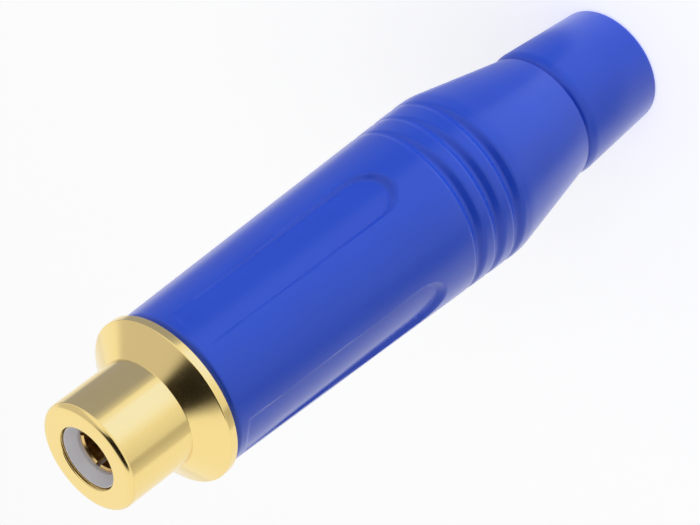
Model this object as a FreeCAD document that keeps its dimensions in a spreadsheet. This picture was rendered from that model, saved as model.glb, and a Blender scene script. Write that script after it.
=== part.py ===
# In-line phono socket for a cable: a painted die-cast shell that screws over a gold-plated socket.
# The shell stands on the end that the cable enters by. Its axis is +Z, and the mouth is at the top.
# Lengths are in millimetres and angles in degrees.
import FreeCAD, Part
import math
import os
import Sketcher

# Driving sizes. A name with height is a level above the tail end, on the axis. The radii follow
# one another outwards, from the bore that takes the plug's pin to the outside of the shell.
SIZES = {
    # Outside of the shell, from the tail end to the front
    "shell_length": 46.58,
    "shoulder_height": 16.85,
    "shoulder_blend_length": 0.61,
    "shoulder_rise": 0.76,
    "rim_height": 8.52,
    "rim_radius": 5.05,
    "neck_width": 0.09,
    "neck_depth": 0.33,
    "crest_setback": 0.75,
    "crest_rise": 0.08,
    "tail_end_radius": 4.6,
    "tail_end_chamfer": 0.2,
    # Ring grooves behind the flutes, on each half of the casting
    "ring_count": 3,
    "ring_side_count": 2,
    "ring_pitch": 2.0,
    "ring_width": 1.2,
    "ring_floor_width": 0.3,
    "ring_depth": 0.4,
    "ring_end_angle": 80,
    "ring_cut_margin": 0.1,
    "first_land": 0.14,
    # Flutes along the barrel of the shell
    "flute_count": 4,
    "flute_depth": 0.68,
    "flute_floor_half_width": 1.5,
    "flute_wall_slope": 56,
    "flute_setback": 5.5,
    "flute_wall_reach": 1.25,
    "flute_undercut": 0.55,
    "flute_fade_margin": 0.15,
    # Inside of the shell
    "cable_hole_radius": 3.4,
    "cable_hole_length": 9.0,
    "cable_hole_lead": 0.3,
    "seat_half_angle": 12.5,
    "bore_step": 0.3,
    "thread_length": 6.0,
    "shell_wall": 1.12,
    "thread_gap": 0.05,
    "thread_runout": 0.5,
    "thread_lead": 0.3,
    # Gold-plated socket body
    "barrel_length": 5.76,
    "barrel_radius": 4.15,
    "barrel_chamfer": 0.25,
    "lip_depth": 0.645,
    "lip_length": 0.8,
    "flange_overhang": 0.36,
    "flange_cone_length": 1.43,
    "flange_rim_length": 0.43,
    "relief_depth": 0.4,
    "relief_length": 0.58,
    "spigot_wall": 1.35,
    "lug_seat_width": 0.35,
    "lug_seat_depth": 1.2,
    # Insulators around the centre contact
    "fit_gap": 0.05,
    "insulator_wall": 0.65,
    "insulator_set_back": 0.25,
    "insulator_edge": 0.105,
    "funnel_depth": 0.75,
    "funnel_allowance": 0.2,
    "insulator_rim": 0.25,
    "finger_room": 0.15,
    "finger_room_length": 5.0,
    "rear_insulator_length": 2.0,
    "nipple_wall": 0.8,
    "nipple_length": 1.0,
    # Centre contact
    "contact_bore_radius": 1.6,
    "contact_wall": 0.35,
    "contact_bore_lead": 0.12,
    "finger_slit_count": 4,
    "finger_slit": 0.35,
    "finger_length": 7.0,
    "collar_rise": 0.4,
    "collar_length": 0.95,
    "collar_overlap": 0.5,
    "stem_radius": 1.2,
    "stem_length": 7.75,
    "cup_wall": 0.35,
    "cup_depth": 3.2,
    "cup_opening": 2.2,
    # Ground lug
    "lug_thickness": 0.5,
    "lug_ring_gap": 0.03,
    "lug_hole_gap": 0.15,
    "lug_tail_gap": 0.17,
    "lug_tail_thickness": 0.45,
    "lug_tail_length": 7.0,
    "lug_tail_angle": 76,
    "lug_wire_hole_radius": 0.55,
    "lug_wire_hole_setback": 1.5,
    # Insulating sleeve and cable chuck
    "sleeve_side_gap": 0.3,
    "sleeve_wall": 0.7,
    "sleeve_end_gap": 0.2,
    "chuck_length": 10.3,
    "chuck_side_gap": 0.2,
    "chuck_wall": 1.0,
    "chuck_seat_gap": 0.12,
    "chuck_ring_length": 2.8,
    "jaw_cone_length": 2.6,
    "jaw_count": 4,
    "jaw_slot_width": 0.8,
    "grip_count": 3,
    "grip_pitch": 1.6,
    "grip_width": 0.8,
    "grip_depth": 0.25,
    "grip_setback": 1.0,
    "tongue_count": 2,
    "tongue_angle": 36,
    "tongue_length": 8.1,
    "tongue_side_gap": 1.6,
    "tongue_wall_gap": 0.06,
}

# Sizes and levels that follow from the driving sizes
LEVELS = {
    # Shell
    "tail_face_radius": "Sizes.tail_end_radius - Sizes.tail_end_chamfer",
    "crest_height": "Sizes.rim_height - Sizes.crest_setback",
    "crest_radius": "Sizes.rim_radius + Sizes.crest_rise",
    "neck_height": "Sizes.rim_height - Sizes.neck_width",
    "neck_radius": "Sizes.rim_radius - Sizes.neck_depth",
    "shell_front_radius": "thread_bore_radius + Sizes.shell_wall",
    "shoulder_radius": "shell_front_radius + Sizes.shoulder_rise",
    "shell_taper": "Sizes.shoulder_rise / (Sizes.shell_length - Sizes.shoulder_height)",
    "shoulder_turn": "(atan((shoulder_radius - Sizes.rim_radius)"
                     " / (Sizes.shoulder_height - Sizes.rim_height)) + atan(shell_taper)) / 1 deg",
    "shoulder_blend": "Sizes.shoulder_blend_length / tan(shoulder_turn / 2 * 1 deg)",
    "first_ring_height": "Sizes.shoulder_height + Sizes.shoulder_blend_length"
                         " + Sizes.first_land + Sizes.ring_width / 2",
    "last_ring_front": "first_ring_height + (Sizes.ring_count - 1) * Sizes.ring_pitch"
                       " + Sizes.ring_width / 2",
    "ring_axis_offset": "Sizes.ring_depth / (1 - cos(Sizes.ring_end_angle * 1 deg))",
    "ring_side_angle": "180 / Sizes.flute_count",
    "ring_axis_across": "-ring_axis_offset * cos(ring_side_angle * 1 deg)",
    "ring_axis_aside": "ring_axis_offset * sin(ring_side_angle * 1 deg)",
    "ring_cut_depth": "Sizes.ring_depth + Sizes.ring_cut_margin",
    "ring_cut_width": "Sizes.ring_floor_width + (Sizes.ring_width - Sizes.ring_floor_width)"
                      " * ring_cut_depth / Sizes.ring_depth",
    "flute_tip_centre_height": "last_ring_front + Sizes.flute_setback",
    "flute_floor_radius": "shoulder_radius - Sizes.flute_depth",
    "flute_fade_height": "Sizes.shoulder_height + Sizes.flute_depth / shell_taper",
    "flute_floor_top": "min(flute_fade_height; Sizes.shell_length) - Sizes.flute_fade_margin",
    "flute_floor_level": "sqrt(flute_floor_radius ^ 2 - Sizes.flute_floor_half_width ^ 2)",
    "flute_plane": "flute_floor_level + Sizes.flute_wall_reach",
    "flute_draft": "tan(Sizes.flute_wall_slope * 1 deg)",
    "flute_half_width": "Sizes.flute_floor_half_width + Sizes.flute_wall_reach * flute_draft",
    "flute_cut_depth": "Sizes.flute_wall_reach + Sizes.flute_undercut",
    "flute_end_height": "flute_floor_top - Sizes.flute_fade_margin"
                        " + (flute_plane - flute_floor_radius) * flute_draft",
    "flute_core_bottom": "flute_tip_centre_height - flute_half_width",
    "cable_lead_radius": "Sizes.cable_hole_radius + Sizes.cable_hole_lead",
    "shell_bore_radius": "thread_radius - Sizes.bore_step",
    "seat_draft": "tan(Sizes.seat_half_angle * 1 deg)",
    "seat_top_height": "Sizes.cable_hole_length"
                       " + (shell_bore_radius - Sizes.cable_hole_radius) / seat_draft",
    "thread_bore_radius": "thread_radius + Sizes.thread_gap",
    "thread_bore_bottom": "spigot_height - Sizes.thread_runout",
    "thread_lead_radius": "thread_bore_radius + Sizes.thread_lead",
    "thread_lead_height": "Sizes.shell_length - Sizes.thread_lead",
    # Socket body
    "flange_radius": "shell_front_radius + Sizes.flange_overhang",
    "flange_front_height": "Sizes.shell_length + Sizes.flange_rim_length",
    "barrel_root_height": "flange_front_height + Sizes.flange_cone_length",
    "overall_length": "barrel_root_height + Sizes.barrel_length",
    "barrel_face_radius": "Sizes.barrel_radius - Sizes.barrel_chamfer",
    "barrel_chamfer_height": "overall_length - Sizes.barrel_chamfer",
    "lip_height": "overall_length - Sizes.lip_length",
    "relief_radius": "thread_radius - Sizes.relief_depth",
    "thread_top_height": "Sizes.shell_length - Sizes.relief_length",
    "spigot_height": "thread_top_height - Sizes.thread_length",
    "spigot_chamfer_height": "spigot_height + Sizes.thread_lead",
    "spigot_chamfer_radius": "thread_radius - Sizes.thread_lead",
    "body_bore_radius": "insulator_radius + Sizes.fit_gap",
    "mouth_radius": "body_bore_radius - Sizes.lip_depth",
    "lug_seat_radius": "body_bore_radius + Sizes.lug_seat_width",
    "thread_radius": "lug_seat_radius + Sizes.spigot_wall",
    "lug_seat_height": "spigot_height + Sizes.lug_seat_depth",
    # Insulators
    "insulator_radius": "collar_seat_radius + Sizes.insulator_wall",
    "nose_radius": "mouth_radius - Sizes.fit_gap",
    "nose_height": "overall_length - Sizes.insulator_set_back",
    "funnel_radius": "nose_radius - Sizes.insulator_edge",
    "funnel_bottom_height": "nose_height - Sizes.funnel_depth",
    "insulator_hole_radius": "Sizes.contact_bore_radius + Sizes.funnel_allowance",
    "contact_rim_height": "funnel_bottom_height - Sizes.insulator_rim",
    "finger_room_radius": "contact_radius + Sizes.finger_room",
    "finger_room_height": "contact_rim_height - Sizes.finger_room_length",
    "contact_seat_radius": "contact_radius + Sizes.fit_gap",
    "collar_seat_radius": "collar_radius + Sizes.fit_gap",
    "rear_insulator_height": "lug_seat_height + Sizes.rear_insulator_length",
    "stem_seat_radius": "Sizes.stem_radius + Sizes.fit_gap",
    "nipple_radius": "stem_seat_radius + Sizes.nipple_wall",
    "nipple_height": "lug_seat_height - Sizes.nipple_length",
    # Centre contact
    "contact_radius": "Sizes.contact_bore_radius + Sizes.contact_wall",
    "contact_lead_radius": "Sizes.contact_bore_radius + Sizes.contact_bore_lead",
    "contact_lead_height": "contact_rim_height - Sizes.contact_bore_lead",
    "slit_top_height": "contact_rim_height + Sizes.fit_gap",
    "slit_bottom_height": "contact_rim_height - Sizes.finger_length",
    "slit_half_width": "Sizes.finger_slit / 2",
    "collar_radius": "contact_radius + Sizes.collar_rise",
    "collar_bottom_height": "rear_insulator_height + Sizes.fit_gap",
    "collar_top_height": "collar_bottom_height + Sizes.collar_length",
    "contact_bore_bottom": "collar_top_height - Sizes.collar_overlap",
    "stem_bottom_height": "collar_bottom_height - Sizes.stem_length",
    "below_stem_height": "stem_bottom_height - Sizes.fit_gap",
    "cup_bore_radius": "Sizes.stem_radius - Sizes.cup_wall",
    "cup_bore_top": "stem_bottom_height + Sizes.cup_depth",
    "cup_cut_top": "stem_bottom_height + Sizes.cup_opening",
    # Ground lug
    "lug_ring_radius": "lug_seat_radius - Sizes.lug_ring_gap",
    "lug_ring_bottom": "lug_seat_height - Sizes.lug_thickness",
    "lug_hole_radius": "nipple_radius + Sizes.lug_hole_gap",
    "lug_tail_outer_radius": "min(lug_ring_radius; sleeve_inner_radius) - Sizes.lug_tail_gap",
    "lug_tail_inner_radius": "lug_tail_outer_radius - Sizes.lug_tail_thickness",
    "lug_tail_bottom": "lug_ring_bottom - Sizes.lug_tail_length",
    "lug_wire_hole_height": "lug_tail_bottom + Sizes.lug_wire_hole_setback",
    # Sleeve
    "sleeve_radius": "shell_bore_radius - Sizes.sleeve_side_gap",
    "sleeve_inner_radius": "sleeve_radius - Sizes.sleeve_wall",
    "sleeve_bottom_height": "chuck_top_height + Sizes.sleeve_end_gap",
    "tongue_slot_top": "tongue_top_height + Sizes.sleeve_end_gap",
    "tongue_slot_angle": "Sizes.tongue_angle + 2 * Sizes.tongue_side_gap",
    # Chuck
    "chuck_radius": "shell_bore_radius - Sizes.chuck_side_gap",
    "chuck_bore_radius": "chuck_radius - Sizes.chuck_wall",
    "chuck_tip_radius": "chuck_radius - Sizes.jaw_cone_length * seat_draft",
    "chuck_bottom_height": "Sizes.cable_hole_length"
                           " + (chuck_tip_radius + Sizes.chuck_seat_gap - Sizes.cable_hole_radius)"
                           " / seat_draft",
    "chuck_cone_top": "chuck_bottom_height + Sizes.jaw_cone_length",
    "chuck_top_height": "chuck_bottom_height + Sizes.chuck_length",
    "jaw_slot_bottom": "chuck_bottom_height - Sizes.fit_gap",
    "jaw_slot_top": "chuck_top_height - Sizes.chuck_ring_length",
    "jaw_slot_half_width": "Sizes.jaw_slot_width / 2",
    "grip_radius": "chuck_bore_radius - Sizes.grip_depth",
    "grip_root_radius": "chuck_bore_radius + Sizes.fit_gap",
    "grip_bottom": "chuck_bottom_height + Sizes.grip_setback",
    "grip_middle": "grip_bottom + Sizes.grip_width / 2",
    "grip_top": "grip_bottom + Sizes.grip_width",
    "grip_span": "Sizes.grip_pitch * (Sizes.grip_count - 1)",
    "tongue_inner_radius": "sleeve_inner_radius + Sizes.tongue_wall_gap",
    "tongue_outer_radius": "sleeve_radius - Sizes.tongue_wall_gap",
    "tongue_top_height": "chuck_top_height + Sizes.tongue_length",
}

FULL_TURN = 360

# Each ring groove has a narrow floor and two sloped walls. Its radii are measured from its own axis.
RINGS = range(SIZES["ring_count"])
for ring in RINGS:
    LEVELS["ring%d_height" % ring] = "first_ring_height + %d * Sizes.ring_pitch" % ring
    LEVELS["ring%d_floor_radius" % ring] = (
        "shoulder_radius - (ring%d_height - Sizes.shoulder_height) * shell_taper"
        " - Sizes.ring_depth + ring_axis_offset" % ring)
    LEVELS["ring%d_outer_radius" % ring] = "ring%d_floor_radius + ring_cut_depth" % ring
    for place, sign, width in (
            ("rear", "-", "ring_cut_width"), ("front", "+", "ring_cut_width"),
            ("floor_rear", "-", "Sizes.ring_floor_width"), ("floor_front", "+", "Sizes.ring_floor_width")):
        LEVELS["ring%d_%s" % (ring, place)] = "ring%d_height %s %s / 2" % (ring, sign, width)

doc = FreeCAD.newDocument("phono_socket")

sheet = doc.addObject("Spreadsheet::Sheet", "Sizes")
for row, (name, number) in enumerate(SIZES.items(), start=1):
    sheet.set("A%d" % row, name)
    sheet.set("B%d" % row, str(number))
    sheet.setAlias("B%d" % row, name)
doc.recompute()

levels = doc.addObject("App::VarSet", "Levels")
for name in LEVELS:
    levels.addProperty("App::PropertyFloat", name, "Levels")
for name, formula in LEVELS.items():
    levels.setExpression(name, formula)
doc.recompute()


def reference(name):
    """The expression that names a size of the sheet or a level that follows from it."""
    return ("Sizes." if name in SIZES else "Levels.") + name


def number(name):
    """The present value of a size or a level."""
    return float(getattr(sheet if name in SIZES else levels, name))


def new_body(label):
    body = doc.addObject("PartDesign::Body", label)
    body.Label = label
    return body


def datum(body, role):
    """One of the body's own origin planes or axes."""
    return [item for item in body.Origin.OriginFeatures if item.Role == role][0]


def new_sketch(body, name, role="XZ_Plane"):
    """An empty sketch on one of the body's own origin planes."""
    sketch = body.newObject("Sketcher::SketchObject", name)
    sketch.AttachmentSupport = [(datum(body, role), "")]
    sketch.MapMode = "FlatFace"
    return sketch


def coordinate(name):
    """The present value of a sketch coordinate: "0", or a named size with or without a minus sign."""
    if name == "0":
        return 0.0
    return -number(name[1:]) if name.startswith("-") else number(name)


def pin_coordinate(sketch, kind, item, corner, name):
    """Hold one coordinate of a sketch point at a size, or on the sketch's axis where it is zero."""
    if name == "0":
        axis = -2 if kind == "DistanceX" else -1
        sketch.addConstraint(Sketcher.Constraint("PointOnObject", item, corner, axis))
        return
    index = sketch.addConstraint(Sketcher.Constraint(kind, -1, 1, item, corner, coordinate(name)))
    formula = "-" + reference(name[1:]) if name.startswith("-") else reference(name)
    sketch.setExpression("Constraints[%d]" % index, formula)


def pin_point(sketch, item, corner, across, up):
    """Hold a sketch point at two named coordinates."""
    pin_coordinate(sketch, "DistanceX", item, corner, across)
    pin_coordinate(sketch, "DistanceY", item, corner, up)


def rounded_corner(before, corner, after, radius):
    """The arc of this radius that joins the two sides meeting at a corner, and its two ends."""
    back = (before - corner).normalize()
    ahead = (after - corner).normalize()
    half_angle = back.getAngle(ahead) / 2
    start = corner + back * (radius / math.tan(half_angle))
    end = corner + ahead * (radius / math.tan(half_angle))
    bisector = (back + ahead).normalize()
    middle = corner + bisector * (radius / math.sin(half_angle) - radius)
    return Part.Arc(start, middle, end), start, end


def outline(sketch, corners):
    """A closed outline of straight sides. Each corner is (across, up) or (across, up, rounding)."""
    points = [FreeCAD.Vector(coordinate(corner[0]), coordinate(corner[1]), 0) for corner in corners]
    count = len(points)
    arcs = {}
    starts = list(points)
    ends = list(points)
    for index, corner in enumerate(corners):
        if len(corner) == 3:
            arcs[index], ends[index], starts[index] = rounded_corner(
                points[index - 1], points[index], points[(index + 1) % count], number(corner[2]))
    for index in range(count):
        side = Part.LineSegment(starts[index], ends[(index + 1) % count])
        sketch.addGeometry(side, False)
    for index, corner in enumerate(corners):
        side_before = (index - 1) % count
        if index not in arcs:
            sketch.addConstraint(Sketcher.Constraint("Coincident", side_before, 2, index, 1))
            pin_point(sketch, index, 1, corner[0], corner[1])
            continue
        arc = sketch.addGeometry(arcs[index], False)
        peak = sketch.addGeometry(Part.Point(points[index]), True)
        first, last = arc_corners(sketch, arc, ends[index])
        sketch.addConstraint(Sketcher.Constraint("Tangent", side_before, 2, arc, first))
        sketch.addConstraint(Sketcher.Constraint("Tangent", arc, last, index, 1))
        sketch.addConstraint(Sketcher.Constraint("PointOnObject", peak, 1, side_before))
        sketch.addConstraint(Sketcher.Constraint("PointOnObject", peak, 1, index))
        pin_point(sketch, peak, 1, corner[0], corner[1])
        rounding = sketch.addConstraint(Sketcher.Constraint("Radius", arc, number(corner[2])))
        sketch.setExpression("Constraints[%d]" % rounding, reference(corner[2]))
    return sketch


def arc_corners(sketch, arc, start):
    """The numbers of an arc's two end points, the one nearest to the given point first."""
    if sketch.getPoint(arc, 1).distanceToPoint(start) < sketch.getPoint(arc, 2).distanceToPoint(start):
        return 1, 2
    return 2, 1


def circle(sketch, across, up, radius):
    """A circle whose centre and radius are held at named sizes."""
    centre = FreeCAD.Vector(coordinate(across), coordinate(up), 0)
    ring = Part.Circle(centre, FreeCAD.Vector(0, 0, 1), number(radius))
    item = sketch.addGeometry(ring, False)
    pin_point(sketch, item, 3, across, up)
    index = sketch.addConstraint(Sketcher.Constraint("Radius", item, number(radius)))
    sketch.setExpression("Constraints[%d]" % index, reference(radius))
    return sketch


def turn(body, name, sketch, kind="Revolution", angle=None):
    """Revolve a sketch about the axis, as added material or as a groove."""
    feature = body.newObject("PartDesign::" + kind, name)
    feature.Profile = sketch
    feature.ReferenceAxis = (datum(body, "Z_Axis"), [""])
    feature.Angle = FULL_TURN
    if angle:
        feature.Midplane = True
        feature.setExpression("Angle", reference(angle))
    doc.recompute()
    return feature


def around(body, features, name, count):
    """Repeat features evenly about the axis."""
    pattern = body.newObject("PartDesign::PolarPattern", name)
    pattern.Originals = features
    pattern.Axis = (datum(body, "Z_Axis"), [""])
    pattern.Angle = FULL_TURN
    pattern.setExpression("Occurrences", reference(count))
    body.Tip = pattern
    doc.recompute()
    return pattern


def along(body, feature, name, count, span):
    """Repeat a feature at an even pitch along the axis."""
    pattern = body.newObject("PartDesign::LinearPattern", name)
    pattern.Originals = [feature]
    pattern.Direction = (datum(body, "Z_Axis"), [""])
    pattern.setExpression("Length", reference(span))
    pattern.setExpression("Occurrences", reference(count))
    body.Tip = pattern
    doc.recompute()
    return pattern


def cut_through(body, name, sketch, both_ways=False):
    """Cut a sketch's outline through the body, to one side of the sketch or to both."""
    pocket = body.newObject("PartDesign::Pocket", name)
    pocket.Profile = sketch
    pocket.Type = "ThroughAll"
    pocket.Midplane = both_ways
    doc.recompute()
    return pocket


def make_shell():
    """The die-cast shell: tail, neck groove, cone, ring grooves, fluted barrel and the bore inside."""
    body = new_body("shell")
    profile = outline(new_sketch(body, "ShellProfile"), [
        ("0", "0"),
        ("tail_face_radius", "0"),
        ("tail_end_radius", "tail_end_chamfer"),
        ("crest_radius", "crest_height"),
        ("neck_radius", "neck_height"),
        ("rim_radius", "rim_height"),
        ("shoulder_radius", "shoulder_height", "shoulder_blend"),
        ("shell_front_radius", "shell_length"),
        ("0", "shell_length"),
    ])
    turn(body, "Casting", profile)
    cut_rings(body)
    cut_flutes(body)
    bore_profile = outline(new_sketch(body, "BoreProfile"), [
        ("0", "0"),
        ("cable_lead_radius", "0"),
        ("cable_hole_radius", "cable_hole_lead"),
        ("cable_hole_radius", "cable_hole_length"),
        ("shell_bore_radius", "seat_top_height"),
        ("shell_bore_radius", "thread_bore_bottom"),
        ("thread_bore_radius", "thread_bore_bottom"),
        ("thread_bore_radius", "thread_lead_height"),
        ("thread_lead_radius", "shell_length"),
        ("0", "shell_length"),
    ])
    turn(body, "Bore", bore_profile, "Groove")
    return body


def cut_rings(body):
    """Cut ring grooves on both halves of the casting.

    The axis of each groove is set back from the middle of its half, between two flutes, so that the
    groove is deepest there and runs out before the parting lines.
    """
    grooves = []
    for ring in RINGS:
        profile = outline(new_sketch(body, "Ring%dProfile" % ring), [
            ("ring%d_floor_radius" % ring, "ring%d_floor_rear" % ring),
            ("ring%d_outer_radius" % ring, "ring%d_rear" % ring),
            ("ring%d_outer_radius" % ring, "ring%d_front" % ring),
            ("ring%d_floor_radius" % ring, "ring%d_floor_front" % ring),
        ])
        profile.AttachmentOffset = FreeCAD.Placement(
            FreeCAD.Vector(), FreeCAD.Rotation(FreeCAD.Vector(0, 1, 0), number("ring_side_angle")))
        profile.setExpression("AttachmentOffset.Rotation.Angle", reference("ring_side_angle"))
        profile.setExpression("AttachmentOffset.Base.x", reference("ring_axis_across"))
        profile.setExpression("AttachmentOffset.Base.z", reference("ring_axis_aside"))
        groove = turn(body, "Ring%d" % ring, profile, "Groove")
        groove.ReferenceAxis = (profile, ["V_Axis"])
        doc.recompute()
        grooves.append(groove)
    around(body, grooves, "RingHalves", "ring_side_count")


def cut_flutes(body):
    """Cut round-ended flutes with sloped sides, then fill them back up to their round floor.

    The floor keeps one radius while the shell tapers, so each flute fades out towards the front.
    """
    sketch = new_sketch(body, "FluteOutline")
    sketch.setExpression("AttachmentOffset.Base.z", reference("flute_plane"))
    half_width = number("flute_half_width")
    tip = number("flute_tip_centre_height")
    end = number("flute_end_height")
    right_side = sketch.addGeometry(Part.LineSegment(
        FreeCAD.Vector(half_width, tip, 0), FreeCAD.Vector(half_width, end, 0)), False)
    front_end = sketch.addGeometry(Part.LineSegment(
        FreeCAD.Vector(half_width, end, 0), FreeCAD.Vector(-half_width, end, 0)), False)
    left_side = sketch.addGeometry(Part.LineSegment(
        FreeCAD.Vector(-half_width, end, 0), FreeCAD.Vector(-half_width, tip, 0)), False)
    tip_circle = Part.Circle(FreeCAD.Vector(0, tip, 0), FreeCAD.Vector(0, 0, 1), half_width)
    tip_arc = sketch.addGeometry(Part.ArcOfCircle(tip_circle, math.pi, 2 * math.pi), False)
    for item, corner, other, other_corner in (
            (right_side, 2, front_end, 1), (front_end, 2, left_side, 1),
            (left_side, 2, tip_arc, 1), (tip_arc, 2, right_side, 1)):
        sketch.addConstraint(Sketcher.Constraint("Coincident", item, corner, other, other_corner))
    pin_coordinate(sketch, "DistanceX", tip_arc, 3, "0")
    pin_coordinate(sketch, "DistanceY", tip_arc, 3, "flute_tip_centre_height")
    pin_coordinate(sketch, "DistanceX", right_side, 1, "flute_half_width")
    pin_coordinate(sketch, "DistanceY", right_side, 1, "flute_tip_centre_height")
    pin_coordinate(sketch, "DistanceX", right_side, 2, "flute_half_width")
    pin_coordinate(sketch, "DistanceY", right_side, 2, "flute_end_height")
    pin_coordinate(sketch, "DistanceX", left_side, 1, "-flute_half_width")
    pin_coordinate(sketch, "DistanceY", left_side, 1, "flute_end_height")
    pin_coordinate(sketch, "DistanceY", left_side, 2, "flute_tip_centre_height")

    pocket = body.newObject("PartDesign::Pocket", "FluteCut")
    pocket.Profile = sketch
    pocket.setExpression("Length", reference("flute_cut_depth"))
    pocket.setExpression("TaperAngle", "-" + reference("flute_wall_slope"))
    doc.recompute()
    around(body, [pocket], "FluteCuts", "flute_count")

    floor_profile = outline(new_sketch(body, "FluteFloorProfile"), [
        ("thread_bore_radius", "flute_core_bottom"),
        ("flute_floor_radius", "flute_core_bottom"),
        ("flute_floor_radius", "flute_floor_top"),
        ("thread_bore_radius", "flute_floor_top"),
    ])
    turn(body, "FluteFloor", floor_profile)


def make_socket_body():
    """Turned from one bar: barrel, coned flange and threaded spigot, with a bore for the insulators."""
    body = new_body("socket_body")
    profile = outline(new_sketch(body, "SocketProfile"), [
        ("mouth_radius", "overall_length"),
        ("barrel_face_radius", "overall_length"),
        ("barrel_radius", "barrel_chamfer_height"),
        ("barrel_radius", "barrel_root_height"),
        ("flange_radius", "flange_front_height"),
        ("flange_radius", "shell_length"),
        ("relief_radius", "shell_length"),
        ("relief_radius", "thread_top_height"),
        ("thread_radius", "thread_top_height"),
        ("thread_radius", "spigot_chamfer_height"),
        ("spigot_chamfer_radius", "spigot_height"),
        ("lug_seat_radius", "spigot_height"),
        ("lug_seat_radius", "lug_seat_height"),
        ("body_bore_radius", "lug_seat_height"),
        ("body_bore_radius", "lip_height"),
        ("mouth_radius", "lip_height"),
    ])
    turn(body, "Turning", profile)
    return body


def make_front_insulator():
    """White bush with a funnel mouth that guides the pin into the centre contact."""
    body = new_body("front_insulator")
    profile = outline(new_sketch(body, "FrontInsulatorProfile"), [
        ("funnel_radius", "nose_height"),
        ("nose_radius", "nose_height"),
        ("nose_radius", "lip_height"),
        ("insulator_radius", "lip_height"),
        ("insulator_radius", "rear_insulator_height"),
        ("collar_seat_radius", "rear_insulator_height"),
        ("collar_seat_radius", "collar_top_height"),
        ("contact_seat_radius", "collar_top_height"),
        ("contact_seat_radius", "finger_room_height"),
        ("finger_room_radius", "finger_room_height"),
        ("finger_room_radius", "contact_rim_height"),
        ("insulator_hole_radius", "contact_rim_height"),
        ("insulator_hole_radius", "funnel_bottom_height"),
    ])
    turn(body, "Bush", profile)
    return body


def make_rear_insulator():
    """Disc that closes the bore behind the contact's collar, with a nipple through the lug."""
    body = new_body("rear_insulator")
    profile = outline(new_sketch(body, "RearInsulatorProfile"), [
        ("stem_seat_radius", "rear_insulator_height"),
        ("insulator_radius", "rear_insulator_height"),
        ("insulator_radius", "lug_seat_height"),
        ("nipple_radius", "lug_seat_height"),
        ("nipple_radius", "nipple_height"),
        ("stem_seat_radius", "nipple_height"),
    ])
    turn(body, "Disc", profile)
    return body


def make_centre_contact():
    """Turned contact: a slit tube for the pin, a collar, a stem and a solder cup."""
    body = new_body("centre_contact")
    profile = outline(new_sketch(body, "ContactProfile"), [
        ("contact_bore_radius", "contact_lead_height"),
        ("contact_lead_radius", "contact_rim_height"),
        ("contact_radius", "contact_rim_height"),
        ("contact_radius", "collar_top_height"),
        ("collar_radius", "collar_top_height"),
        ("collar_radius", "collar_bottom_height"),
        ("stem_radius", "collar_bottom_height"),
        ("stem_radius", "stem_bottom_height"),
        ("cup_bore_radius", "stem_bottom_height"),
        ("cup_bore_radius", "cup_bore_top"),
        ("0", "cup_bore_top"),
        ("0", "contact_bore_bottom"),
        ("contact_bore_radius", "contact_bore_bottom"),
    ])
    turn(body, "ContactTurning", profile)
    slit_outline = outline(new_sketch(body, "SlitOutline"), [
        ("-slit_half_width", "slit_bottom_height"),
        ("slit_half_width", "slit_bottom_height"),
        ("slit_half_width", "slit_top_height"),
        ("-slit_half_width", "slit_top_height"),
    ])
    slit = cut_through(body, "FingerSlit", slit_outline)
    around(body, [slit], "FingerSlits", "finger_slit_count")

    cup_outline = outline(new_sketch(body, "CupOutline"), [
        ("-stem_seat_radius", "below_stem_height"),
        ("stem_seat_radius", "below_stem_height"),
        ("stem_seat_radius", "cup_cut_top"),
        ("-stem_seat_radius", "cup_cut_top"),
    ])
    cut_through(body, "CupOpening", cup_outline)
    return body


def make_ground_lug():
    """Stamped ring on the back of the socket body, with a tail bent to a trough for the screen."""
    body = new_body("ground_lug")
    ring_profile = outline(new_sketch(body, "LugRingProfile"), [
        ("lug_hole_radius", "lug_seat_height"),
        ("lug_ring_radius", "lug_seat_height"),
        ("lug_ring_radius", "lug_ring_bottom"),
        ("lug_hole_radius", "lug_ring_bottom"),
    ])
    turn(body, "LugRing", ring_profile)
    tail_profile = outline(new_sketch(body, "LugTailProfile"), [
        ("lug_tail_inner_radius", "lug_seat_height"),
        ("lug_tail_outer_radius", "lug_seat_height"),
        ("lug_tail_outer_radius", "lug_tail_bottom"),
        ("lug_tail_inner_radius", "lug_tail_bottom"),
    ])
    turn(body, "LugTail", tail_profile, angle="lug_tail_angle")
    hole_profile = circle(new_sketch(body, "WireHoleProfile", "YZ_Plane"),
                          "0", "lug_wire_hole_height", "lug_wire_hole_radius")
    cut_through(body, "WireHole", hole_profile, both_ways=True)
    return body


def make_insulating_sleeve():
    """Tube over the solder joints, slotted at its lower end for the tongues of the chuck."""
    body = new_body("insulating_sleeve")
    profile = outline(new_sketch(body, "SleeveProfile"), [
        ("sleeve_inner_radius", "sleeve_bottom_height"),
        ("sleeve_radius", "sleeve_bottom_height"),
        ("sleeve_radius", "spigot_height"),
        ("sleeve_inner_radius", "spigot_height"),
    ])
    turn(body, "Tube", profile)
    slot_profile = outline(new_sketch(body, "TongueSlotProfile"), [
        ("chuck_bore_radius", "chuck_top_height"),
        ("shell_bore_radius", "chuck_top_height"),
        ("shell_bore_radius", "tongue_slot_top"),
        ("chuck_bore_radius", "tongue_slot_top"),
    ])
    slot = turn(body, "TongueSlot", slot_profile, "Groove", angle="tongue_slot_angle")
    around(body, [slot], "TongueSlots", "tongue_count")
    return body


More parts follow.
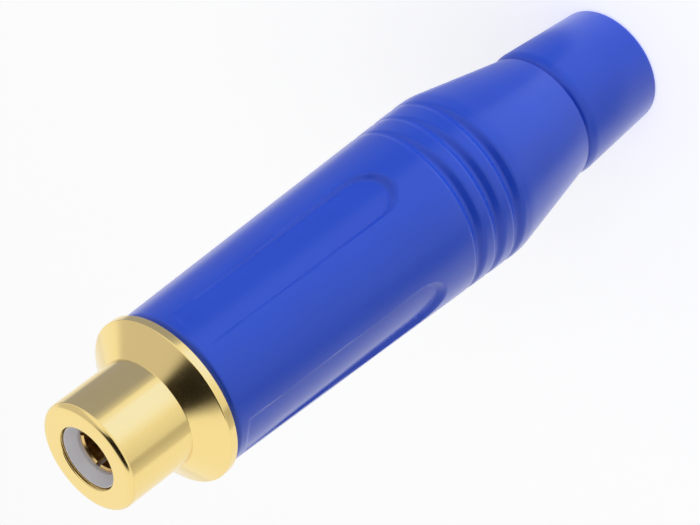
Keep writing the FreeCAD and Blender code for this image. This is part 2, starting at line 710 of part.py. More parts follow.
def make_cable_chuck():
    """Chuck that the cone in the shell closes on the cable: ring, split jaws and two tongues."""
    body = new_body("cable_chuck")
    profile = outline(new_sketch(body, "ChuckProfile"), [
        ("chuck_bore_radius", "chuck_bottom_height"),
        ("chuck_tip_radius", "chuck_bottom_height"),
        ("chuck_radius", "chuck_cone_top"),
        ("chuck_radius", "chuck_top_height"),
        ("chuck_bore_radius", "chuck_top_height"),
    ])
    turn(body, "ChuckBody", profile)
    grip_profile = outline(new_sketch(body, "GripProfile"), [
        ("grip_radius", "grip_middle"),
        ("grip_root_radius", "grip_bottom"),
        ("grip_root_radius", "grip_top"),
    ])
    grip = turn(body, "GripRidge", grip_profile)
    along(body, grip, "GripRidges", "grip_count", "grip_span")
    slot_outline = outline(new_sketch(body, "JawSlotOutline"), [
        ("-jaw_slot_half_width", "jaw_slot_bottom"),
        ("jaw_slot_half_width", "jaw_slot_bottom"),
        ("jaw_slot_half_width", "jaw_slot_top"),
        ("-jaw_slot_half_width", "jaw_slot_top"),
    ])
    slot = cut_through(body, "JawSlot", slot_outline)
    around(body, [slot], "JawSlots", "jaw_count")
    tongue_profile = outline(new_sketch(body, "TongueProfile"), [
        ("tongue_inner_radius", "jaw_slot_top"),
        ("tongue_outer_radius", "jaw_slot_top"),
        ("tongue_outer_radius", "tongue_top_height"),
        ("tongue_inner_radius", "tongue_top_height"),
    ])
    tongue = turn(body, "Tongue", tongue_profile, angle="tongue_angle")
    around(body, [tongue], "Tongues", "tongue_count")
    return body


def check_model():
    """Stop if any object failed to compute or any sub-part is empty or not valid."""
    for item in doc.Objects:
        if "Invalid" in item.State or "Error" in item.State:
            raise RuntimeError("%s did not compute: %s" % (item.Label, item.State))
    for body in SUB_PARTS:
        shape = body.Shape
        if shape.isNull() or not shape.isValid() or len(shape.Solids) != 1:
            raise RuntimeError("%s is not one valid solid" % body.Label)


SUB_PARTS = [
    make_shell(),
    make_socket_body(),
    make_front_insulator(),
    make_rear_insulator(),
    make_centre_contact(),
    make_ground_lug(),
    make_insulating_sleeve(),
    make_cable_chuck(),
]
doc.recompute()
check_model()
os.makedirs("parts", exist_ok=True)
for sub_part in SUB_PARTS:
    sub_part.Shape.exportStep("parts/%s.step" % sub_part.Label)
    print(sub_part.Label, "%.3f mm3" % sub_part.Shape.Volume, sub_part.Shape.BoundBox)
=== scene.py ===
# Looks of an in-line phono socket: a blue painted shell over a gold-plated socket, stood on its tail.
import math
import bpy
import numpy as np
from mathutils import Matrix, Vector


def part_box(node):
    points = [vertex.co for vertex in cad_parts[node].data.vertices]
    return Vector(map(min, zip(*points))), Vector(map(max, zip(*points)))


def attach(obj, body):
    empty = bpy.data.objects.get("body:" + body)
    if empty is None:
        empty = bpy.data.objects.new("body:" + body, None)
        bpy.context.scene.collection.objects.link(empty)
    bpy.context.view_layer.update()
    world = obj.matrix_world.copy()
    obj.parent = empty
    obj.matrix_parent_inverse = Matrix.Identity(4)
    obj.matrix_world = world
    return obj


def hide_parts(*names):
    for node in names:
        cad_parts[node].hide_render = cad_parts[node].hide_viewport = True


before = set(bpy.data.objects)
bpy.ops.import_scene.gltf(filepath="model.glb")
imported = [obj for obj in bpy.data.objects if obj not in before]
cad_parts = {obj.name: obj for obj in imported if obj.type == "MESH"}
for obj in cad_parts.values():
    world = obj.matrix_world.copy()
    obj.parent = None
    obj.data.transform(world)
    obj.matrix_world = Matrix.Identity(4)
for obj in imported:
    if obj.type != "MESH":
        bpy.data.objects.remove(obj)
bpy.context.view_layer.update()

MM = 0.001
TURN = 2 * math.pi
UP = Vector((0, 0, 1))

# Sizes are in millimetres and outlines are (radius, height above the tail end, rounding) corners.
# The heights of the shell's front, the mouth and the end of the spigot come from the frame.
SHELL_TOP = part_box("shell")[1].z / MM
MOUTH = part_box("socket_body")[1].z / MM
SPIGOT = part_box("socket_body")[0].z / MM
INSULATOR_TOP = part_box("front_insulator")[1].z / MM
INSULATOR_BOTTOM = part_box("front_insulator")[0].z / MM

# A gap in millimetres too small to see, for telling heights apart
HAIR = 0.01

# Screw thread between shell and socket body. Crest and root each have a flat, as a share of the pitch.
THREAD_PITCH = 0.75
THREAD_ROOT = 4.55
THREAD_DEPTH = 0.43
THREAD_PLAY = 0.06
THREAD_FLAT = 0.14
THREAD_LENGTH = 6

# Outside of the shell: shoulder, taper and the rolled edge at the front
SHOULDER = 16.85
SHOULDER_RADIUS = 6.724
FRONT_RADIUS = 5.97
FRONT_ROLL = 0.36
TAPER = (SHOULDER_RADIUS - FRONT_RADIUS) / (SHELL_TOP - SHOULDER)

# Ring grooves: deepest between two flutes and running out on both sides, about an axis set back from there
RING_HEIGHTS = (18.2, 20.2, 22.2)
RING_MIDDLES = (-135, 45)
RING_AXIS_OFFSET = 0.484
RING_DEPTH = 0.4
RING_REACH = 1
RING_FLOOR_HALF_WIDTH = 0.15
RING_WALL_SLOPE = 0.4 / 0.45
RING_FLOOR_SOFTNESS = 0.12
RING_LIP_SOFTNESS = 0.18

# Flutes: the floor falls less than the shell tapers, so they fade towards the front. From the floor the
# walls slope out, by an angle from upright, and at the plane they are a half width from the middle and from
# the centre of the round tip. The wall across the front reaches the plane at the end.
FLUTE_AZIMUTHS = (-90, 180, 0, 90)
FLUTE_SPREAD = 40
FLUTE_FLOOR_RADIUS = 6.05
FLUTE_FALL = 0.005
FLUTE_TIP = 28.15
FLUTE_END = 46.4
FLUTE_PLANE = 7.111
FLUTE_HALF_WIDTH = 3.2
FLUTE_WALL_SLOPE = 50
FLUTE_EDGE_SOFTNESS = 0.07
FLUTE_FLOOR_SOFTNESS = 0.07

# The share of a side that the rounding of a corner may take
ROUNDING_SHARE = 0.49


def soften(corners, step=12):
    """The points of a closed outline, with each corner's rounding drawn as an arc of about step degrees."""
    spots = [np.array(corner[:2], float) for corner in corners]
    points = []
    for index, corner in enumerate(corners):
        spot = spots[index]
        rounding = corner[2] if len(corner) == 3 else 0
        if not rounding:
            points.append(spot)
            continue
        back = spots[index - 1] - spot
        ahead = spots[(index + 1) % len(spots)] - spot
        reach = ROUNDING_SHARE * min(np.linalg.norm(back), np.linalg.norm(ahead))
        back /= np.linalg.norm(back)
        ahead /= np.linalg.norm(ahead)
        half_angle = math.acos(np.clip(back @ ahead, -1, 1)) / 2
        setback = min(rounding / math.tan(half_angle), reach)
        radius = setback * math.tan(half_angle)
        centre = spot + (back + ahead) / np.linalg.norm(back + ahead) * radius / math.sin(half_angle)
        start = spot + back * setback - centre
        end = spot + ahead * setback - centre
        turn = math.atan2(start[0] * end[1] - start[1] * end[0], start @ end)
        steps = max(2, math.ceil(abs(math.degrees(turn)) / step))
        for share in np.linspace(0, 1, steps + 1):
            c, s = math.cos(turn * share), math.sin(turn * share)
            points.append(centre + np.array((c * start[0] - s * start[1], s * start[0] + c * start[1])))
    return np.array(points)


def divide(outline, low, high, spacing, least=0.0):
    """The outline with points about a spacing apart between two heights, where it is outside a radius."""
    points = []
    for here, ahead in zip(outline, np.roll(outline, -1, axis=0)):
        points.append(here)
        inside = max(here[1], ahead[1]) > low + HAIR and min(here[1], ahead[1]) < high - HAIR
        inside = inside and min(here[0], ahead[0]) > least
        pieces = math.ceil(np.linalg.norm(ahead - here) / spacing) if inside else 1
        steps = (here + (ahead - here) * k / pieces for k in range(1, pieces))
        points.extend(step for step in steps if low <= step[1] <= high)
    return np.array(points)


def lathe(name, outline, segments, shape=None, crowding=0):
    """Turn a closed outline about the axis. shape(radius, height, angle) may move the surface in or out.

    The crowding, from 0 to 1, moves segments towards both walls of each flute."""
    plain = np.arange(segments) * TURN / segments
    walls = 2 * len(FLUTE_AZIMUTHS)
    angles = plain + crowding * np.sin(walls * plain) / walls
    radius = np.repeat(outline[:, :1], segments, axis=1)
    height = np.repeat(outline[:, 1:], segments, axis=1)
    angle = np.repeat(angles[None, :], len(outline), axis=0)
    if shape:
        radius = shape(radius, height, angle)
    points = np.stack((radius * np.cos(angle), radius * np.sin(angle), height), axis=-1) * MM
    row, column = np.meshgrid(np.arange(len(outline)), np.arange(segments), indexing="ij")
    next_row, next_column = (row + 1) % len(outline), (column + 1) % segments
    faces = np.stack((row * segments + column, row * segments + next_column,
                      next_row * segments + next_column, next_row * segments + column), axis=-1)
    mesh = bpy.data.meshes.new(name)
    mesh.from_pydata(points.reshape(-1, 3).tolist(), [], faces.reshape(-1, 4).tolist())
    return finish_mesh(name, mesh)


def finish_mesh(name, mesh, crease=32):
    """Shade a mesh smooth up to a crease angle in degrees and put it in the scene."""
    mesh.polygons.foreach_set("use_smooth", [True] * len(mesh.polygons))
    mesh.set_sharp_from_angle(angle=math.radians(crease))
    mesh.update()
    piece = bpy.data.objects.new(name, mesh)
    bpy.context.scene.collection.objects.link(piece)
    return piece


def soft_least(a, b, softness):
    """The lesser of two surfaces, rounded where they cross."""
    return np.minimum(a, b) - np.maximum(softness - np.abs(a - b), 0) ** 2 / (4 * softness)


def soft_most(a, b, softness):
    """The greater of two surfaces, rounded where they cross."""
    return -soft_least(-a, -b, softness)


def flute_hollow(height, offset):
    """The radius of a flute's floor or wall at a height, at an angle from the middle of the flute."""
    gain = 1 / math.tan(math.radians(FLUTE_WALL_SLOPE))
    fall = FLUTE_FALL * np.maximum(height - FLUTE_TIP, 0)
    floor = FLUTE_FLOOR_RADIUS - fall
    below_tip = np.minimum(height - FLUTE_TIP, 0)
    wall = floor
    # A wall's place across the flute depends on its radius, so it is found in a few rounds
    for _ in range(8):
        reach = np.hypot(wall * np.sin(offset), below_tip)
        inward = np.minimum(FLUTE_HALF_WIDTH - reach, FLUTE_END - height)
        wall = (FLUTE_PLANE - fall - inward * gain) / np.cos(offset)
    return soft_most(floor, wall, FLUTE_FLOOR_SOFTNESS)


def fluted(radius, height, angle):
    """Press the flutes into the tapered outside of the shell."""
    radius = radius.copy()
    outside = (height > FLUTE_TIP - FLUTE_HALF_WIDTH) & (radius > FRONT_RADIUS - FRONT_ROLL / 2)
    for azimuth in FLUTE_AZIMUTHS:
        offset = (angle - math.radians(azimuth) + math.pi) % TURN - math.pi
        near = outside & (np.abs(offset) < math.radians(FLUTE_SPREAD))
        hollow = flute_hollow(height[near], offset[near])
        radius[near] = soft_least(radius[near], hollow, FLUTE_EDGE_SOFTNESS)
    return radius


def ringed(radius, height, angle):
    """Press the ring grooves into both halves of the shell."""
    for ring in RING_HEIGHTS:
        across = np.abs(height - ring) - RING_FLOOR_HALF_WIDTH
        rise = soft_most(np.zeros_like(across), across, RING_FLOOR_SOFTNESS) * RING_WALL_SLOPE
        reach = SHOULDER_RADIUS - (ring - SHOULDER) * TAPER - RING_DEPTH + RING_AXIS_OFFSET + rise
        for middle in RING_MIDDLES:
            offset = angle - math.radians(middle)
            groove = np.sqrt(reach ** 2 - (RING_AXIS_OFFSET * np.sin(offset)) ** 2)
            groove -= RING_AXIS_OFFSET * np.cos(offset)
            outside = (np.abs(height - ring) < RING_REACH) & (radius > FRONT_RADIUS)
            radius = np.where(outside, soft_least(radius, groove, RING_LIP_SOFTNESS), radius)
    return radius


def thread_wave(height, angle):
    """How far the right-hand thread stands out at a point, from 0 in its root to 1 on its crest."""
    phase = (height / THREAD_PITCH - angle / TURN) % 1
    tooth = 1 - np.abs(2 * phase - 1)
    return np.clip((tooth - THREAD_FLAT) / (1 - 2 * THREAD_FLAT), 0, 1)


# Bore of the shell, its thread, and the chamfer that would have this radius at the very front
BORE_RADIUS = 4.5
THREAD_BORE = THREAD_ROOT + THREAD_PLAY
THREAD_START = SPIGOT - 0.5
THREAD_RUNOUT = 0.4
FRONT_CHAMFER = 5.15
FRONT_GAP = 0.12

# Above the shoulder, the bore lies within this radius and the outside beyond it
INSIDE = 5.3


def shell_surface(radius, height, angle):
    """Flutes outside, and the inner thread between its run-out and its chamfer at the front."""
    radius = ringed(fluted(radius, height, angle), height, angle)
    threaded = (radius < INSIDE) & (height > THREAD_START + HAIR)
    depth = THREAD_DEPTH * np.clip((height - THREAD_START) / THREAD_RUNOUT, 0, 1)
    thread = THREAD_BORE + depth * thread_wave(height, angle)
    chamfer = FRONT_CHAMFER - (SHELL_TOP - height)
    return np.where(threaded, np.maximum(thread, chamfer), radius)


# Rows of faces from a height to a height, and their spacing: ring grooves, flute tips, flutes and front
OUTSIDE_ROWS = ((SHOULDER, 23, 0.09), (25.2, 28.8, 0.1), (28.8, 42.4, 0.4), (42.4, 45.6, 0.12))
SHELL_SEGMENTS = 288
SHELL_CROWDING = 0.5


def make_shell():
    outline = soften([
        (3.7, 0),
        (4.58, 0, 0.4),
        (5.13, 7.6, 1.1),
        (4.98, 8.12, 0.6),
        (4.72, 8.43, 0.08),
        (5.05, 8.52, 0.07),
        (SHOULDER_RADIUS, SHOULDER, 5.4),
        (FRONT_RADIUS + 0.02, SHELL_TOP - 0.75, 0.4),
        (FRONT_RADIUS - FRONT_ROLL, SHELL_TOP - 0.3, 0.25),
        (FRONT_CHAMFER - FRONT_GAP, SHELL_TOP - FRONT_GAP),
        (THREAD_BORE, SHELL_TOP - FRONT_CHAMFER + THREAD_BORE),
        (THREAD_BORE, THREAD_START),
        (BORE_RADIUS, THREAD_START, 0.1),
        (BORE_RADIUS, 13.96, 1.5),
        (3.4, 9.0, 1.5),
        (3.4, 0.3, 0.2),
    ])
    for low, high, spacing in OUTSIDE_ROWS:
        outline = divide(outline, low, high, spacing, INSIDE)
    outline = divide(outline, THREAD_START, SHELL_TOP - 0.5, THREAD_PITCH / 6)
    front = np.argmax((outline[:, 0] < INSIDE) & (outline[:, 1] > SHELL_TOP - FRONT_GAP - HAIR))
    shell = lathe("shell_casting", outline, SHELL_SEGMENTS, shell_surface, SHELL_CROWDING)
    shell.data.materials.append(blue_paint())
    shell.data.materials.append(cast_metal())
    bare = np.repeat(np.arange(len(outline)) >= front, SHELL_SEGMENTS).astype(np.int32)
    shell.data.polygons.foreach_set("material_index", bare)
    place(shell, "shell", "blue_paint", "shell")


# Spigot of the socket body: its chamfered end, the blank that its thread is cut in, and its neck
SPIGOT_END_RADIUS = 4.45
SPIGOT_BLANK = 4.65
SPIGOT_NECK = 4.4


def threaded_spigot(radius, height, angle):
    """Cut the outer thread along the spigot of the socket body, within its chamfered end."""
    above_end = height - SPIGOT
    threaded = (radius > SPIGOT_NECK) & (above_end > HAIR) & (above_end < THREAD_LENGTH - HAIR)
    thread = THREAD_ROOT + THREAD_DEPTH * thread_wave(height, angle)
    return np.where(threaded, np.minimum(thread, SPIGOT_END_RADIUS + above_end), radius)


def make_socket_body():
    outline = soften([
        (SPIGOT_END_RADIUS, SPIGOT),
        (SPIGOT_BLANK, SPIGOT + SPIGOT_BLANK - SPIGOT_END_RADIUS),
        (SPIGOT_BLANK, SPIGOT + THREAD_LENGTH),
        (SPIGOT_NECK, SPIGOT + THREAD_LENGTH, 0.1),
        (SPIGOT_NECK, SHELL_TOP - FRONT_GAP, 0.08),
        (6.33, SHELL_TOP - FRONT_GAP, 0.05),
        (6.33, SHELL_TOP + 0.5, 0.12),
        (4.15, SHELL_TOP + 1.86, 0.06),
        (4.15, MOUTH, 0.45),
        (2.455, MOUTH, 0.1),
        (2.455, MOUTH - 0.8),
        (3.1, MOUTH - 0.8),
        (3.1, SPIGOT + 1.2),
        (3.45, SPIGOT + 1.2),
        (3.45, SPIGOT),
    ], step=9)
    outline = divide(outline, SPIGOT, SPIGOT + THREAD_LENGTH, THREAD_PITCH / 12)
    body = lathe("socket_turning", outline, segments=224, shape=threaded_spigot)
    body.data.materials.append(gold_plate())
    place(body, "socket", "gold_plate", "socket_body")


def make_front_insulator():
    outline = soften([
        (2.405, INSULATOR_TOP - 0.55),
        (2.405, INSULATOR_TOP, 0.06),
        (2.3, INSULATOR_TOP, 0.08),
        (1.8, INSULATOR_TOP - 0.75, 0.3),
        (1.8, INSULATOR_TOP - 1.0),
        (2.1, INSULATOR_TOP - 1.0),
        (2.1, INSULATOR_TOP - 6.0),
        (2.0, INSULATOR_TOP - 6.0),
        (2.0, INSULATOR_BOTTOM + 1.0),
        (2.4, INSULATOR_BOTTOM + 1.0),
        (2.4, INSULATOR_BOTTOM),
        (3.05, INSULATOR_BOTTOM, 0.1),
        (3.05, INSULATOR_TOP - 0.55, 0.05),
    ], step=10)
    bush = lathe("insulator_bush", outline, segments=128)
    bush.data.materials.append(white_insulator())
    place(bush, "socket", "white_insulator", "front_insulator")


def place(piece, body, slot, *nodes):
    """Let a piece ride on its body and stand for its nodes. The slot is not used."""
    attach(piece, body)
    if nodes:
        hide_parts(*nodes)


def new_group(name, inputs, outputs):
    """An empty shader node group with named number inputs and outputs, and its two end nodes."""
    group = bpy.data.node_groups.new(name, "ShaderNodeTree")
    for label, value in inputs.items():
        socket = group.interface.new_socket(label, in_out="INPUT", socket_type="NodeSocketFloat")
        socket.default_value = value
    for label in outputs:
        group.interface.new_socket(label, in_out="OUTPUT", socket_type="NodeSocketFloat")
    return group, group.nodes.new("NodeGroupInput"), group.nodes.new("NodeGroupOutput")


def fine_grain():
    """Noise with a grain size in millimetres: a height for bumps and a slow tone for gloss."""
    group, start, end = new_group("fine_grain", {"Grain": 0.3, "Patch": 4.0}, ("Height", "Tone"))
    nodes, links = group.nodes, group.links
    coordinates = nodes.new("ShaderNodeTexCoord")
    for label, output, detail in (("Grain", "Height", 2), ("Patch", "Tone", 3)):
        scale = nodes.new("ShaderNodeMath")
        scale.operation = "DIVIDE"
        scale.inputs[0].default_value = 1 / MM
        links.new(start.outputs[label], scale.inputs[1])
        noise = nodes.new("ShaderNodeTexNoise")
        noise.inputs["Detail"].default_value = detail
        links.new(coordinates.outputs["Object"], noise.inputs["Vector"])
        links.new(scale.outputs[0], noise.inputs["Scale"])
        links.new(noise.outputs["Fac"], end.inputs[output])
    return group


def turning_marks():
    """Fine rings about the axis, as a turning tool leaves them, with their spacing in millimetres."""
    group, start, end = new_group("turning_marks", {"Spacing": 0.05}, ("Height",))
    nodes, links = group.nodes, group.links
    coordinates = nodes.new("ShaderNodeTexCoord")
    split = nodes.new("ShaderNodeSeparateXYZ")
    links.new(coordinates.outputs["Object"], split.inputs[0])
    flat = nodes.new("ShaderNodeCombineXYZ")
    links.new(split.outputs["X"], flat.inputs["X"])
    links.new(split.outputs["Y"], flat.inputs["Y"])
    radius = nodes.new("ShaderNodeVectorMath")
    radius.operation = "LENGTH"
    links.new(flat.outputs[0], radius.inputs[0])
    across = nodes.new("ShaderNodeCombineXYZ")
    links.new(radius.outputs["Value"], across.inputs["X"])
    links.new(split.outputs["Z"], across.inputs["Y"])
    scale = nodes.new("ShaderNodeMath")
    scale.operation = "DIVIDE"
    scale.inputs[0].default_value = 1 / MM
    links.new(start.outputs["Spacing"], scale.inputs[1])
    noise = nodes.new("ShaderNodeTexNoise")
    noise.noise_dimensions = "2D"
    noise.inputs["Detail"].default_value = 2
    links.new(across.outputs[0], noise.inputs["Vector"])
    links.new(scale.outputs[0], noise.inputs["Scale"])
    links.new(noise.outputs["Fac"], end.inputs["Height"])
    return group


FINE_GRAIN = fine_grain()
TURNING_MARKS = turning_marks()


def new_material(name, colour, roughness, metallic=0.0):
    """A material with a plain Principled shader, ready for its effects."""
    material = bpy.data.materials.new(name)
    material.use_nodes = True
    shader = material.node_tree.nodes["Principled BSDF"]
    shader.inputs["Base Color"].default_value = (*colour, 1)
    shader.inputs["Roughness"].default_value = roughness
    shader.inputs["Metallic"].default_value = metallic
    material.diffuse_color = (*colour, 1)
    return material, shader


def add_effect(material, group, **values):
    """Place an effect group in a material with its own values."""
    node = material.node_tree.nodes.new("ShaderNodeGroup")
    node.node_tree = group
    for label, value in values.items():
        node.inputs[label].default_value = value
    return node


def add_bump(material, shader, height, strength, distance):
    """Let a height move the shader's normal. The distance is in millimetres."""
    bump = material.node_tree.nodes.new("ShaderNodeBump")
    bump.inputs["Strength"].default_value = strength
    bump.inputs["Distance"].default_value = distance * MM
    material.node_tree.links.new(height, bump.inputs["Height"])
    material.node_tree.links.new(bump.outputs["Normal"], shader.inputs["Normal"])


def vary(material, source, low, high, target):
    """Drive a shader value between two ends by a mask that runs from about 0.3 to 0.7."""
    spread = material.node_tree.nodes.new("ShaderNodeMapRange")
    spread.inputs["From Min"].default_value = 0.3
    spread.inputs["From Max"].default_value = 0.7
    spread.inputs["To Min"].default_value = low
    spread.inputs["To Max"].default_value = high
    material.node_tree.links.new(source, spread.inputs["Value"])
    material.node_tree.links.new(spread.outputs["Result"], target)


def tint(material, source, light, dark, target):
    """Drive a colour between two ends by a mask."""
    ramp = material.node_tree.nodes.new("ShaderNodeValToRGB")
    ramp.color_ramp.elements[0].position = 0.3
    ramp.color_ramp.elements[0].color = (*dark, 1)
    ramp.color_ramp.elements[1].position = 0.7
    ramp.color_ramp.elements[1].color = (*light, 1)
    material.node_tree.links.new(source, ramp.inputs["Fac"])
    material.node_tree.links.new(ramp.outputs["Color"], target)


def blue_paint():
    material, shader = new_material("blue_satin_paint", (0.006, 0.06, 0.58), 0.34)
    shader.inputs["IOR"].default_value = 1.46
    shader.inputs["Coat Weight"].default_value = 0.65
    shader.inputs["Coat IOR"].default_value = 1.35
    shader.inputs["Coat Roughness"].default_value = 0.25
    grain = add_effect(material, FINE_GRAIN, Grain=0.16, Patch=6.0)
    add_bump(material, shader, grain.outputs["Height"], 0.25, 0.006)
    vary(material, grain.outputs["Tone"], 0.31, 0.37, shader.inputs["Roughness"])
    light, dark = (0.006, 0.064, 0.6), (0.005, 0.056, 0.56)
    tint(material, grain.outputs["Tone"], light, dark, shader.inputs["Base Color"])
    return material


def cast_metal():
    material, shader = new_material("bare_die_cast_metal", (0.55, 0.56, 0.58), 0.4, 1.0)
    grain = add_effect(material, FINE_GRAIN, Grain=0.25, Patch=2.0)
    add_bump(material, shader, grain.outputs["Height"], 0.5, 0.01)
    vary(material, grain.outputs["Tone"], 0.32, 0.5, shader.inputs["Roughness"])
    return material


def gold_plate():
    material, shader = new_material("polished_gold_plate", (0.93, 0.72, 0.29), 0.16, 1.0)
    marks = add_effect(material, TURNING_MARKS, Spacing=0.05)
    grain = add_effect(material, FINE_GRAIN, Grain=0.3, Patch=3.0)
    add_bump(material, shader, marks.outputs["Height"], 0.15, 0.002)
    vary(material, grain.outputs["Tone"], 0.13, 0.19, shader.inputs["Roughness"])
    return material


# A darker, browner gold than the socket's: painted shade for the contact that sits deep in the mouth.
def shaded_contact_gold():
    material, shader = new_material("contact_gold_with_painted_shade", (0.86, 0.6, 0.24), 0.26, 1.0)
    marks = add_effect(material, TURNING_MARKS, Spacing=0.04)
    grain = add_effect(material, FINE_GRAIN, Grain=0.2, Patch=1.5)
    add_bump(material, shader, marks.outputs["Height"], 0.2, 0.002)
    vary(material, grain.outputs["Tone"], 0.22, 0.32, shader.inputs["Roughness"])
    return material


def white_insulator():
    material, shader = new_material("white_moulded_plastic", (0.9, 0.89, 0.95), 0.42)
    grain = add_effect(material, FINE_GRAIN, Grain=0.12, Patch=2.0)
    add_bump(material, shader, grain.outputs["Height"], 0.2, 0.004)
    vary(material, grain.outputs["Tone"], 0.38, 0.46, shader.inputs["Roughness"])
    return material


def tinned_brass():
    material, shader = new_material("tinned_brass_strip", (0.8, 0.74, 0.58), 0.3, 1.0)
    grain = add_effect(material, FINE_GRAIN, Grain=0.1, Patch=1.5)
    add_bump(material, shader, grain.outputs["Height"], 0.2, 0.003)
    vary(material, grain.outputs["Tone"], 0.24, 0.36, shader.inputs["Roughness"])
    return material


def black_sleeve():
    material, shader = new_material("black_moulded_sleeve", (0.02, 0.02, 0.022), 0.35)
    grain = add_effect(material, FINE_GRAIN, Grain=0.2, Patch=3.0)
    add_bump(material, shader, grain.outputs["Height"], 0.3, 0.006)
    vary(material, grain.outputs["Tone"], 0.3, 0.42, shader.inputs["Roughness"])
    return material


def grey_chuck():
    material, shader = new_material("grey_moulded_chuck", (0.17, 0.175, 0.185), 0.5)
    grain = add_effect(material, FINE_GRAIN, Grain=0.15, Patch=3.0)
    add_bump(material, shader, grain.outputs["Height"], 0.35, 0.008)
    vary(material, grain.outputs["Tone"], 0.44, 0.56, shader.inputs["Roughness"])
    return material


def finish_inner_nodes():
    """The inner pieces that keep their solids get their finishes."""
    finishes = {
        "centre_contact": shaded_contact_gold(),
        "rear_insulator": white_insulator(),
        "ground_lug": tinned_brass(),
        "insulating_sleeve": black_sleeve(),
        "cable_chuck": grey_chuck(),
    }
    for node, material in finishes.items():
        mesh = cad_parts[node].data
        mesh.materials.clear()
        mesh.materials.append(material)


# Camera: level azimuth seen from the axis; distance from the axis, height and step aside in metres; and
# the angles by which it looks down and is rolled
CAMERA_AZIMUTH = -116.5
CAMERA_REACH = 0.19824
CAMERA_HEIGHT = MOUTH * MM + 0.10209
CAMERA_SIDESTEP = 0.00015
CAMERA_TILT = 32.78
CAMERA_ROLL = -127.13
CAMERA_LENS = 174.86
SENSOR_WIDTH = 36

OUTWARD = Vector((math.cos(math.radians(CAMERA_AZIMUTH)), math.sin(math.radians(CAMERA_AZIMUTH)), 0))
SIDEWAYS = Vector((OUTWARD.y, -OUTWARD.x, 0))


def make_camera():
    tilt, roll = math.radians(CAMERA_TILT), math.radians(CAMERA_ROLL)
    forward = -math.cos(tilt) * OUTWARD - math.sin(tilt) * UP
    level_right = -SIDEWAYS
    level_up = level_right.cross(forward)
    right = math.cos(roll) * level_right + math.sin(roll) * level_up
    up = right.cross(forward)
    data = bpy.data.cameras.new("camera")
    data.sensor_width = SENSOR_WIDTH
    data.lens = CAMERA_LENS
    data.clip_start = 0.01
    data.clip_end = 20
    camera = bpy.data.objects.new("camera", data)
    spot = OUTWARD * CAMERA_REACH + SIDEWAYS * CAMERA_SIDESTEP + UP * CAMERA_HEIGHT
    camera.matrix_world = Matrix.Translation(spot) @ Matrix((right, up, -forward)).transposed().to_4x4()
    bpy.context.scene.collection.objects.link(camera)
    bpy.context.scene.camera = camera


def seen_directly(nodes, links):
    """A mask of the rays that show the background: from the camera, in a reflection or through glass."""
    rays = nodes.new("ShaderNodeLightPath")
    direct = nodes.new("ShaderNodeMath")
    direct.operation = "MAXIMUM"
    links.new(rays.outputs["Is Camera Ray"], direct.inputs[0])
    links.new(rays.outputs["Is Glossy Ray"], direct.inputs[1])
    either = nodes.new("ShaderNodeMath")
    either.operation = "MAXIMUM"
    links.new(direct.outputs[0], either.inputs[0])
    links.new(rays.outputs["Is Transmission Ray"], either.inputs[1])
    return either.outputs[0]


# Level of the world's light, the glow that lifts the seen floor to white, and its half side in metres
WORLD_LEVEL = 0.3
FLOOR_LIFT = 0.62
FLOOR_HALF_SIDE = 4


def make_world():
    world = bpy.data.worlds.new("studio")
    world.use_nodes = True
    nodes, links = world.node_tree.nodes, world.node_tree.links
    level = nodes.new("ShaderNodeMapRange")
    level.inputs["To Min"].default_value = WORLD_LEVEL
    level.inputs["To Max"].default_value = 1.0
    links.new(seen_directly(nodes, links), level.inputs["Value"])
    background = nodes["Background"]
    background.inputs["Color"].default_value = (1, 1, 1, 1)
    links.new(level.outputs["Result"], background.inputs["Strength"])
    bpy.context.scene.world = world


def make_floor():
    mesh = bpy.data.meshes.new("floor")
    signs = ((-1, -1), (1, -1), (1, 1), (-1, 1))
    corners = [(x * FLOOR_HALF_SIDE, y * FLOOR_HALF_SIDE, 0) for x, y in signs]
    mesh.from_pydata(corners, [], [(0, 1, 2, 3)])
    floor = bpy.data.objects.new("floor", mesh)
    bpy.context.scene.collection.objects.link(floor)
    material = bpy.data.materials.new("pale_floor")
    material.use_nodes = True
    nodes, links = material.node_tree.nodes, material.node_tree.links
    shader = nodes["Principled BSDF"]
    shader.inputs["Base Color"].default_value = (0.82, 0.82, 0.82, 1)
    shader.inputs["Roughness"].default_value = 1
    shader.inputs["Specular IOR Level"].default_value = 0
    shader.inputs["Emission Color"].default_value = (1, 1, 1, 1)
    lift = nodes.new("ShaderNodeMath")
    lift.operation = "MULTIPLY"
    lift.inputs[1].default_value = FLOOR_LIFT
    links.new(seen_directly(nodes, links), lift.inputs[0])
    links.new(lift.outputs[0], shader.inputs["Emission Strength"])
    mesh.materials.append(material)
    floor.visible_shadow = False


def toward(azimuth, elevation):
    """A direction from the socket. The azimuth is measured from the camera's side."""
    a, e = math.radians(azimuth), math.radians(elevation)
    return math.cos(e) * (math.cos(a) * OUTWARD + math.sin(a) * SIDEWAYS) + math.sin(e) * UP


MIDDLE = UP * MOUTH * MM / 2
LAMP_DISTANCE = 0.7


def add_light(name, azimuth, elevation, width, height, power):
    """A large soft light that faces the socket. Metal shows the cards and the white room instead of it."""
    data = bpy.data.lights.new(name, "AREA")
    data.shape = "RECTANGLE"
    data.size = width
    data.size_y = height
    data.energy = power
    light = bpy.data.objects.new(name, data)
    light.location = MIDDLE + toward(azimuth, elevation) * LAMP_DISTANCE
    light.rotation_euler = (-toward(azimuth, elevation)).to_track_quat("-Z", "Y").to_euler()
    light.visible_glossy = False
    bpy.context.scene.collection.objects.link(light)


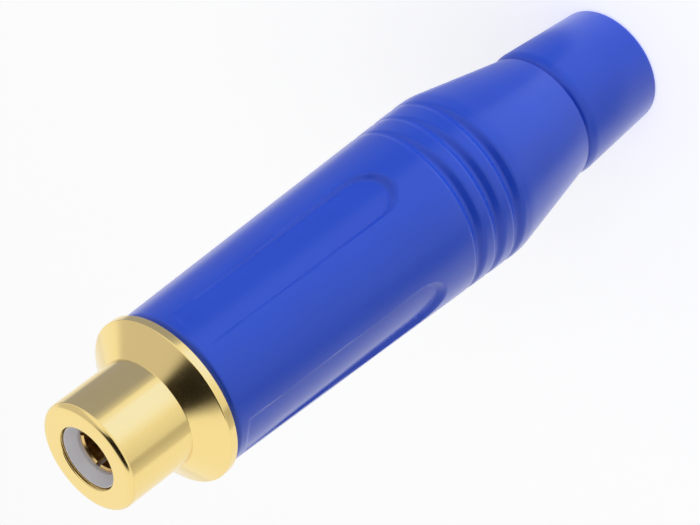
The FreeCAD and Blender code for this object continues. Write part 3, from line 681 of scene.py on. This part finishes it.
def card_material(colour):
    """A card of one plain colour that fades out towards its edges."""
    material = bpy.data.materials.new("studio_card")
    material.use_nodes = True
    nodes, links = material.node_tree.nodes, material.node_tree.links
    nodes.clear()
    cover = nodes.new("ShaderNodeAttribute")
    cover.attribute_name = "cover"
    clear = nodes.new("ShaderNodeBsdfTransparent")
    plain = nodes.new("ShaderNodeEmission")
    plain.inputs["Color"].default_value = (*colour, 1)
    mix = nodes.new("ShaderNodeMixShader")
    end = nodes.new("ShaderNodeOutputMaterial")
    links.new(cover.outputs["Fac"], mix.inputs[0])
    links.new(clear.outputs[0], mix.inputs[1])
    links.new(plain.outputs[0], mix.inputs[2])
    links.new(mix.outputs[0], end.inputs["Surface"])
    return material


def add_card(name, rows, colour):
    """A card that only reflections show, from four rows of four points. It fades out to the outer ones."""
    points = [point for row in rows for point in row]
    faces = [(4 * i + j, 4 * i + j + 1, 4 * i + j + 5, 4 * i + j + 4) for i in range(3) for j in range(3)]
    mesh = bpy.data.meshes.new(name)
    mesh.from_pydata(points, [], faces)
    cover = mesh.attributes.new("cover", "FLOAT", "POINT")
    for index in (5, 6, 9, 10):
        cover.data[index].value = 1
    mesh.materials.append(card_material(colour))
    card = bpy.data.objects.new(name, mesh)
    bpy.context.scene.collection.objects.link(card)
    card.visible_camera = card.visible_diffuse = card.visible_shadow = False
    card.visible_transmission = card.visible_volume_scatter = False


def add_upright_card(name, azimuth, elevation, distance, heights, widths, colour):
    """A card that faces the mouth. Heights and widths are shares of its distance, from edge to edge."""
    ahead = toward(azimuth, elevation)
    across = toward(azimuth + 90, 0)
    up = across.cross(ahead)
    rows = [[UP * MOUTH * MM + distance * (ahead + across * width + up * height) for width in widths]
            for height in heights]
    add_card(name, rows, colour)


# Edges of the floor cards from the axis, and how far they lie above the floor, in metres
FLOOR_CARD_REACHES = (0.008, 0.01, 0.25, 0.3)
FLOOR_CARD_LIFT = 0.0002


def add_floor_card(name, azimuths, colour):
    """A fan-shaped card that lies on the floor about the socket."""
    rows = [[toward(azimuth, 0) * reach + UP * FLOOR_CARD_LIFT for azimuth in azimuths]
            for reach in FLOOR_CARD_REACHES]
    add_card(name, rows, colour)


def add_ceiling_card(name, height, rows, colour):
    """A level card over the mouth. A row is its reach towards the camera and its four places across it.

    Both are shares of the card's height."""
    grid = [[UP * (MOUTH * MM + height) + (OUTWARD * reach + SIDEWAYS * aside) * height for aside in places]
            for reach, *places in rows]
    add_card(name, grid, colour)


def make_lights():
    """Three long lamps below the level of the floor, for light that comes off a table, and one above."""
    add_light("key_light", -50, -28, 0.8, 0.25, 3.9)
    add_light("fill_light", 60, -28, 0.8, 0.25, 2.0)
    add_light("back_light", 180, -20, 0.8, 0.25, 3.0)
    add_light("front_light", 10, 65, 0.4, 0.4, 0.9)


def make_cards():
    """Cards for the dark, pale, grey, cool and tan bands that the gold and the paint show."""
    add_ceiling_card("dark_card", 0.2, (
        (-0.35, -0.3, -0.15, 0.15, 0.5),
        (0.0, -0.3, -0.2, 0.18, 0.6),
        (2.2, -1.0, -0.1, 3.2, 4.6),
        (3.2, -1.3, -0.1, 4.0, 6.0),
    ), (0.012, 0.01, 0.01))
    add_upright_card("pale_card", -104, 30, 0.3, (-0.9, -0.75, 1.3, 1.9), (-0.7, -0.5, 0.4, 0.95),
                     (0.68, 0.67, 0.72))
    add_floor_card("grey_card", (-151, -133, -56, -42), (0.39, 0.41, 0.56))
    add_floor_card("cool_card", (-42, -30, -8, 20), (1.0, 1.12, 1.55))
    add_floor_card("tan_card", (8, 54, 60, 80), (0.54, 0.53, 0.52))


make_camera()
make_world()
make_floor()
make_lights()
make_cards()
make_shell()
make_socket_body()
make_front_insulator()
finish_inner_nodes()

bpy.context.scene.view_settings.view_transform = "Standard"
